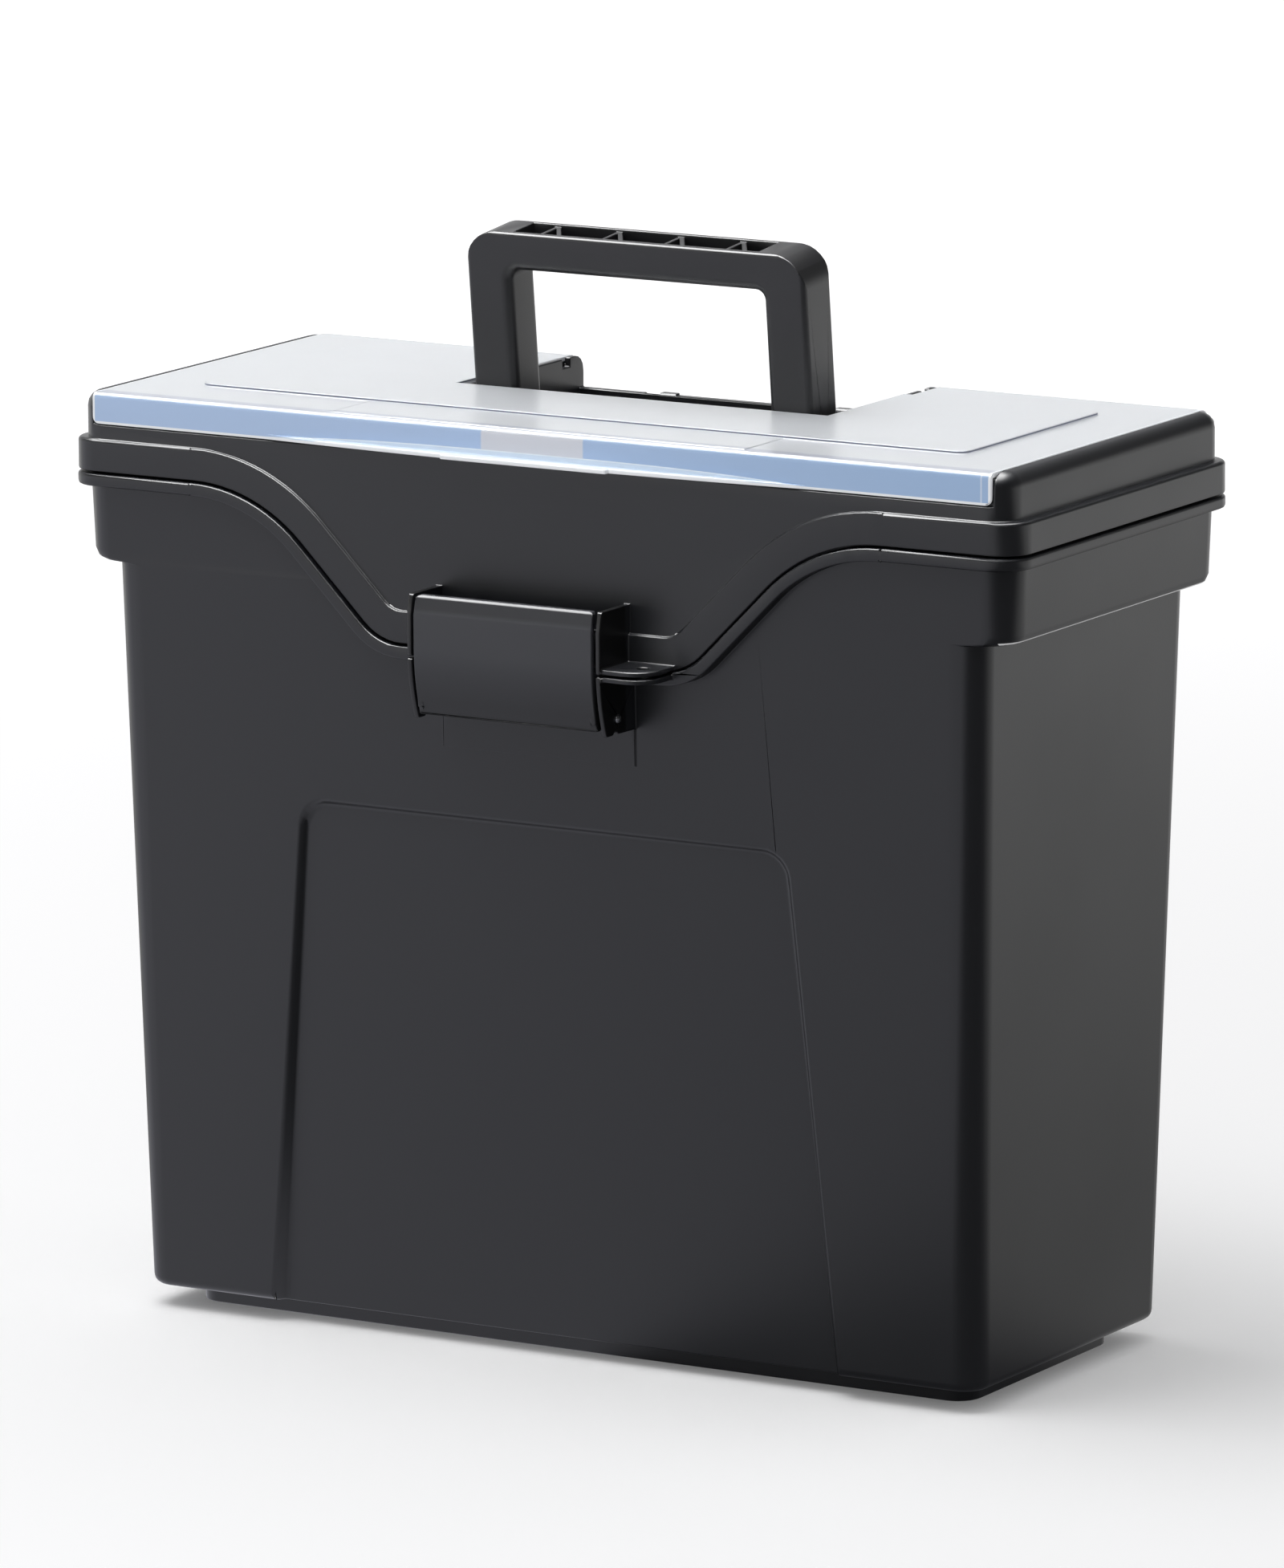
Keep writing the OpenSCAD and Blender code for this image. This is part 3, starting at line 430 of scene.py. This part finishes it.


# Painted light and shade: a highlight on the collar's foot, near-black shade on the latch cheeks' sides, shade
# on the latch's foot and top
# A range from -1 starts before the middle plane, so its soft start shows nowhere
COLLAR_HIGHLIGHT = ("#D2D2D3", 0.15, (161, 200), (-100, 100), (COLLAR_FOOT_MM + 0.8, COLLAR_FOOT_MM + 1.35))
CHEEK_SIDES_SHADE = ("#070708", 0.15, (33, 35), (-100, -73), (200, 250))
LATCH_FOOT_SHADE = ("#121315", 16, (-1, 40), (-100, 0), (190, 211))
LATCH_TOP_SHADE = ("#141519", 1.2, (-1, 40), (-100, 0), (240.2, 250))
black_body = moulded_polypropylene("carbon_black_polypropylene", "#17181B", 0.33, [COLLAR_HIGHLIGHT, CHEEK_SIDES_SHADE])
black_latch = moulded_polypropylene("carbon_black_polypropylene_latch", "#2B2C30", 0.42,
                                    [LATCH_FOOT_SHADE, LATCH_TOP_SHADE])
black_handle = moulded_polypropylene("carbon_black_polypropylene_handle", "#1C1C1E", 0.35,
                                     grain_depth_mm=0.016)
print("materials:", [m.name for m in (black_body, black_latch, black_handle)])

# %% [markdown]
# ## Natural polypropylene
#
# The organizer cover is the same plastic without pigment. It is milky: most of the light scatters inside the
# sheet and comes back faintly blue, and a part goes through, blurred, so the black trays show as soft shapes.
# Seen at a shallow angle its glossy top mirrors the pale room behind it.
#
# The shades are laid from the lip upwards. The lip that hangs down in front is the bluest, because the sheet
# is seen there against the black lid, and a painted shade makes it a little darker towards the right. In the
# middle the lid's wall has a window behind the lip, and the light that comes through it is painted as a pale
# patch. Under a shallow arch lies a paler crescent, a painted highlight with a thin painted line along its
# top, and a thin painted highlight line stands near the lip's right end. The top is nearly white, with a
# painted blue-grey shadow beside the fold and a painted dark line on the step of the raised panel. Light
# gathers at the sheet's cut edges and on the face of the ledge, where it is painted near white.

# %% Material for the cover
FOLD_MM = (293.6, 295.0)             # heights over which the lip turns into the top
TOP_MM = (-67, 100)                  # the Y of the top, whose underside has its colour too
# the lip's painted shade grows darker towards the right over this range of X
LIP_SHADE_RAMP_MM = (-60, 140)
# half width of the pale patch painted where light comes through the lid's window behind the lip
FINGER_WINDOW_MM = 18
# a thin painted highlight line near the lip's right end
END_HIGHLIGHT_MM = (157.2, 157.6)
# the crescent's painted highlight lies under this arch, with a thin painted highlight line along its top
ARCH_FALL = 2.6                      # times the cube of the distance from the middle, in metres
ARCH_FOOT_MM, ARCH_TOP_MM = 280, 288.0
ARCH_HIGHLIGHT_LINE_MM = (287.9, 288.1)
# a painted blue-grey shadow beside the fold, over this range of Y
FOLD_SHADOW_MM = (-68.5, -65.5)
# a thin painted line of shade on the step of the raised panel
PANEL_STEP_SHADE_MM = (295.36, 295.74)
# the ledge's face, painted near white where light gathers on it
LEDGE_HIGHLIGHT_MM = (-90, -72.0)
# the sheet's cut edges, painted near white where light gathers in them
CUT_EDGE_GLOW_Z_MM, CUT_EDGE_GLOW_X_MM = (280, 285.8), (159.9, 170)
HAZE_MM = 40
COVER_ROUGHNESS = (0.28, 0.33)
LIGHT_THROUGH = (0.06, 0.16)         # of the lip and of the top


def natural_polypropylene():
    material, tree = new_material("natural_polypropylene_translucent")
    place, at, off_centre = places(tree)
    fold = add_node(tree, "ShaderNodeMapRange", SMOOTH, Value=at["Z"], From_Min=FOLD_MM[0] * MM,
                    From_Max=FOLD_MM[1] * MM).outputs[0]
    top = add_node(tree, "ShaderNodeMath", MAXIMUM, _0=fold,
                   _1=between(tree, at["Y"], *TOP_MM, 1.0)).outputs[0]
    along = add_node(tree, "ShaderNodeMapRange", Value=at["X"], From_Min=LIP_SHADE_RAMP_MM[0] * MM,
                     From_Max=LIP_SHADE_RAMP_MM[1] * MM).outputs[0]
    cubed = add_node(tree, "ShaderNodeMath", {"operation": "POWER"}, _0=off_centre, _1=3.0)
    arch = add_node(tree, "ShaderNodeMath", MULTIPLY_ADD, _0=cubed.outputs[0], _1=ARCH_FALL,
                    _2=at["Z"]).outputs[0]
    fold_shadow = add_node(tree, "ShaderNodeMath", MULTIPLY, _0=top,
                          _1=between(tree, at["Y"], *FOLD_SHADOW_MM, 1.5)).outputs[0]
    cut_edge_glow = add_node(tree, "ShaderNodeMath", MAXIMUM, _0=between(tree, at["Z"], *CUT_EDGE_GLOW_Z_MM),
                        _1=between(tree, off_centre, *CUT_EDGE_GLOW_X_MM)).outputs[0]
    sheet = linear("#AEC5E6")
    # painted light and shade over the sheet's colour, from the lip upwards; the top's own near-white colour
    # too
    for mask, over, strength in [
            (along, "#A0BBDE", 1.0),
            (between(tree, off_centre, -1, FINGER_WINDOW_MM, 0.5), "#D8D9DF", 0.9),
            (between(tree, at["X"], *END_HIGHLIGHT_MM), "#CBD8EC", 1.0),
            (between(tree, arch, ARCH_FOOT_MM, ARCH_TOP_MM), "#D3E1F0", 1.0),
            (between(tree, arch, *ARCH_HIGHLIGHT_LINE_MM), "#E9F1F8", 1.0),
            (top, "#D8DBDF", 1.0),
            (fold_shadow, "#A9AFC0", 0.6),
            (between(tree, at["Z"], *PANEL_STEP_SHADE_MM, 0.05), "#5E6378", 1.0),
            (between(tree, at["Y"], *LEDGE_HIGHLIGHT_MM), "#F7FAFD", 1.0),
            (cut_edge_glow, "#F7F9FC", 1.0)]:
        sheet = painted(tree, sheet, mask, over, strength)
    haze = add_node(tree, "ShaderNodeTexNoise", Vector=place, Scale=1 / (HAZE_MM * MM), Detail=3.0)
    gloss = add_node(tree, "ShaderNodeMapRange", Value=haze.outputs["Fac"], From_Min=NOISE_MIDDLE[0],
                     From_Max=NOISE_MIDDLE[1], To_Min=COVER_ROUGHNESS[0], To_Max=COVER_ROUGHNESS[1])
    through = add_node(tree, "ShaderNodeMapRange", Value=top, To_Min=LIGHT_THROUGH[0], To_Max=LIGHT_THROUGH[1])
    shader = add_node(tree, "ShaderNodeBsdfPrincipled", Base_Color=sheet, Roughness=gloss.outputs[0],
                      IOR=POLYPROPYLENE_IOR, Transmission_Weight=through.outputs[0])
    finish_material(tree, shader)
    return material


milky_cover = natural_polypropylene()
print("material:", milky_cover.name, "with", len(milky_cover.node_tree.nodes), "nodes")

# %% [markdown]
# ## Steel pins
#
# The pins are cut from drawn wire: bright steel with fine scratches along its length.

# %% Material for the pins
STEEL = "#C9CACC"
SCRATCHES_PER_METRE = (30.0, 4000.0, 4000.0)  # long in X, the direction of drawing, and fine across it
STEEL_ROUGHNESS = (0.2, 0.34)


def drawn_wire():
    material, tree = new_material("bright_drawn_steel_wire")
    place = add_node(tree, "ShaderNodeTexCoord").outputs["Object"]
    along = add_node(tree, "ShaderNodeMapping", Vector=place, Scale=SCRATCHES_PER_METRE)
    scratches = add_node(tree, "ShaderNodeTexNoise", Vector=along.outputs[0], Scale=1.0, Detail=2.0)
    gloss = add_node(tree, "ShaderNodeMapRange", Value=scratches.outputs["Fac"], From_Min=NOISE_MIDDLE[0],
                     From_Max=NOISE_MIDDLE[1], To_Min=STEEL_ROUGHNESS[0], To_Max=STEEL_ROUGHNESS[1])
    shader = add_node(tree, "ShaderNodeBsdfPrincipled", Base_Color=linear(STEEL), Metallic=1.0,
                      Roughness=gloss.outputs[0])
    finish_material(tree, shader)
    return material


wire = drawn_wire()
print("material:", wire.name)

# %% [markdown]
# ## Soft edges
#
# No edge of a moulding is sharp: the mould's own edges are broken, and each one catches a thin line of light.
# The frame's solids have crisp edges, so each moulding is drawn as a copy whose edges are rolled over. The
# radius isn't the same everywhere. A list of zones gives the edges that differ: the lines that run down into
# the dip are rounder, and the raised pad under the latch is so low that its edges are almost sharp. Where a
# chamfer starts in the solid, at the ends of the dip, the short edges stay as they are, because a rolled edge
# has no room there.

# %% Rounded copies of the mouldings
WIDEST_MM = 2.4        # the radius of a weight of 1
WELD_MM = 0.002
CREASE_ANGLE = 32      # degrees: an edge that bends less is part of a curved face
LATCH_CREASE_ANGLE = 11


def both_sides(low, high, radius_mm):
    mirrored = ((-high[0], *low[1:]), (-low[0], *high[1:]), radius_mm)
    return [(low, high, radius_mm), mirrored]


EDGE_ZONES = {
    # node: [(corner, opposite corner, radius)], all in millimetres
    "tub": [*both_sides((123.9, -74, 255), (124.1, -69, 285), 0),   # ends of the dip
            ((-124.1, -72.6, 200), (124.1, -72.4, 275), 0.6),       # rim bead in the dip
            *both_sides((32, -89, 221), (52, -79, 229), 0.75),      # lock tabs
            ((-34.6, -68.2, 192), (34.6, -66.5, 203), 0.1),         # pad under the latch
            ((-112, -68.5, 8), (112, -61, 174), 1.1)],              # panel recess
    "lid": [*both_sides((123.9, -74, 255), (124.1, -69, 285), 0),   # ends of the dip
            ((-124.1, -71.5, 210), (124.1, -71.3, 285), 0.55),      # band in the dip
            *both_sides((32, -89, 221), (52, -79, 229), 0.75)],     # lock tabs
    "latch": [((-33, -89.2, 237), (33, -88.2, 241), WIDEST_MM),     # crease across the plate
              ((-33, -90, 243), (33, -70, 245), 0.25)],             # top edge
}


def edge_radius(node, edge, usual_mm, least_angle):
    """None where the faces bend less than the least angle, else the radius of the edge's zone or the usual."""
    if len(edge.link_faces) != 2 or edge.calc_face_angle() < math.radians(least_angle):
        return 0.0
    for low, high, radius_mm in EDGE_ZONES.get(node, []):
        if all(low[i] * MM <= vert.co[i] <= high[i] * MM for vert in edge.verts for i in range(3)):
            return radius_mm
    return usual_mm


def rounded_copy(node, name, radius_mm, material, least_angle=CREASE_ANGLE):
    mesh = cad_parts[node].data.copy()
    piece = bpy.data.objects.new(name, mesh)
    bpy.context.scene.collection.objects.link(piece)
    bm = bmesh.new()
    bm.from_mesh(mesh)
    bmesh.ops.remove_doubles(bm, verts=bm.verts, dist=WELD_MM * MM)
    bmesh.ops.dissolve_degenerate(bm, edges=bm.edges, dist=WELD_MM * MM)
    weight = bm.edges.layers.float.new("bevel_weight_edge")
    for edge in bm.edges:
        edge[weight] = edge_radius(node, edge, radius_mm, least_angle) / WIDEST_MM
    for face in bm.faces:
        face.smooth = True
    bm.to_mesh(mesh)
    bm.free()
    mesh.materials.clear()
    mesh.materials.append(material)
    bevel = piece.modifiers.new("rolled_edges", "BEVEL")
    bevel.width = WIDEST_MM * MM
    bevel.segments = 2
    bevel.limit_method = "WEIGHT"
    bevel.use_clamp_overlap = False
    flat = piece.modifiers.new("flat_faces", "WEIGHTED_NORMAL")
    flat.keep_sharp = True
    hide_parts(node)
    return piece


tub = rounded_copy("tub", "tub_moulding", 0.45, black_body)
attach(tub, "box")
lid = rounded_copy("lid", "lid_moulding", 0.45, black_body)
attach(lid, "lid")
cover = rounded_copy("organizer_cover", "cover_moulding", 0.3, milky_cover)
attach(cover, "cover")
handle = rounded_copy("handle", "handle_moulding", 0.4, black_handle)
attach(handle, "handle")
latch = rounded_copy("latch", "latch_moulding", 0.4, black_latch, LATCH_CREASE_ANGLE)
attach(latch, "latch")
for piece in (tub, lid, cover, handle, latch):
    print(piece.name, len(piece.data.vertices), "points")

# %% [markdown]
# ## Pins and their rounded ends
#
# Every pin keeps the frame's solid and only gets its steel. The latch's pin comes through its cheeks with
# rounded ends, and the right one shows as a bright dot. Each end is a shallow dome, built as rings of points
# about X that shrink towards the crown.

# %% Pins
DOME_RADIUS_MM = 1.35
DOME_HEIGHT_MM = 1.1
DOME_SUNK_MM = 0.1  # how far the dome starts inside the pin's end
DOME_STEPS = 24
DOME_RINGS = 4
RING_ANGLE = math.radians(22.5)


def dress_node(node, material):
    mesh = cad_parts[node].data
    mesh.materials.clear()
    mesh.materials.append(material)


def domed_end(name, place, side):
    """A rounded pin end that points to +X or -X, closed by a fan at the crown and a flat base."""
    mesh = bpy.data.meshes.new(name)
    bm = bmesh.new()
    rings = []
    for level in range(DOME_RINGS):
        x = place[0] + side * DOME_HEIGHT_MM * math.sin(RING_ANGLE * level) * MM
        radius = DOME_RADIUS_MM * math.cos(RING_ANGLE * level) * MM
        turns = [math.tau * i / DOME_STEPS for i in range(DOME_STEPS)]
        rings.append([bm.verts.new((x, place[1] + radius * math.cos(turn), place[2] + radius * math.sin(turn)))
                      for turn in turns])
    steps = [(i, (i + 1) % DOME_STEPS) for i in range(DOME_STEPS)]
    for lower, upper in zip(rings, rings[1:]):
        for i, j in steps:
            bm.faces.new((lower[i], lower[j], upper[j], upper[i]))
    crown = bm.verts.new((place[0] + side * DOME_HEIGHT_MM * MM, place[1], place[2]))
    for i, j in steps:
        bm.faces.new((rings[-1][i], rings[-1][j], crown))
    bm.faces.new(rings[0][::-1])
    bmesh.ops.recalc_face_normals(bm, faces=bm.faces)
    for face in bm.faces:
        face.smooth = len(face.verts) < 5
    bm.to_mesh(mesh)
    bm.free()
    dome = bpy.data.objects.new(name, mesh)
    bpy.context.scene.collection.objects.link(dome)
    mesh.materials.append(wire)
    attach(dome, "box")
    return dome


pins = [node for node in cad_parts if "_pin" in node]
for node in pins:
    dress_node(node, wire)
pin_points = [vert.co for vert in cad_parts["latch_pin"].data.vertices]
pin_y = sum(point.y for point in pin_points) / len(pin_points)
pin_z = sum(point.z for point in pin_points) / len(pin_points)
pin_end = max(point.x for point in pin_points) - DOME_SUNK_MM * MM
domes = [domed_end(name, (side * pin_end, pin_y, pin_z), side)
         for side, name in ((1, "latch_pin_end_right"), (-1, "latch_pin_end_left"))]
print("pins:", len(pins), "rounded ends:", [dome.name for dome in domes])
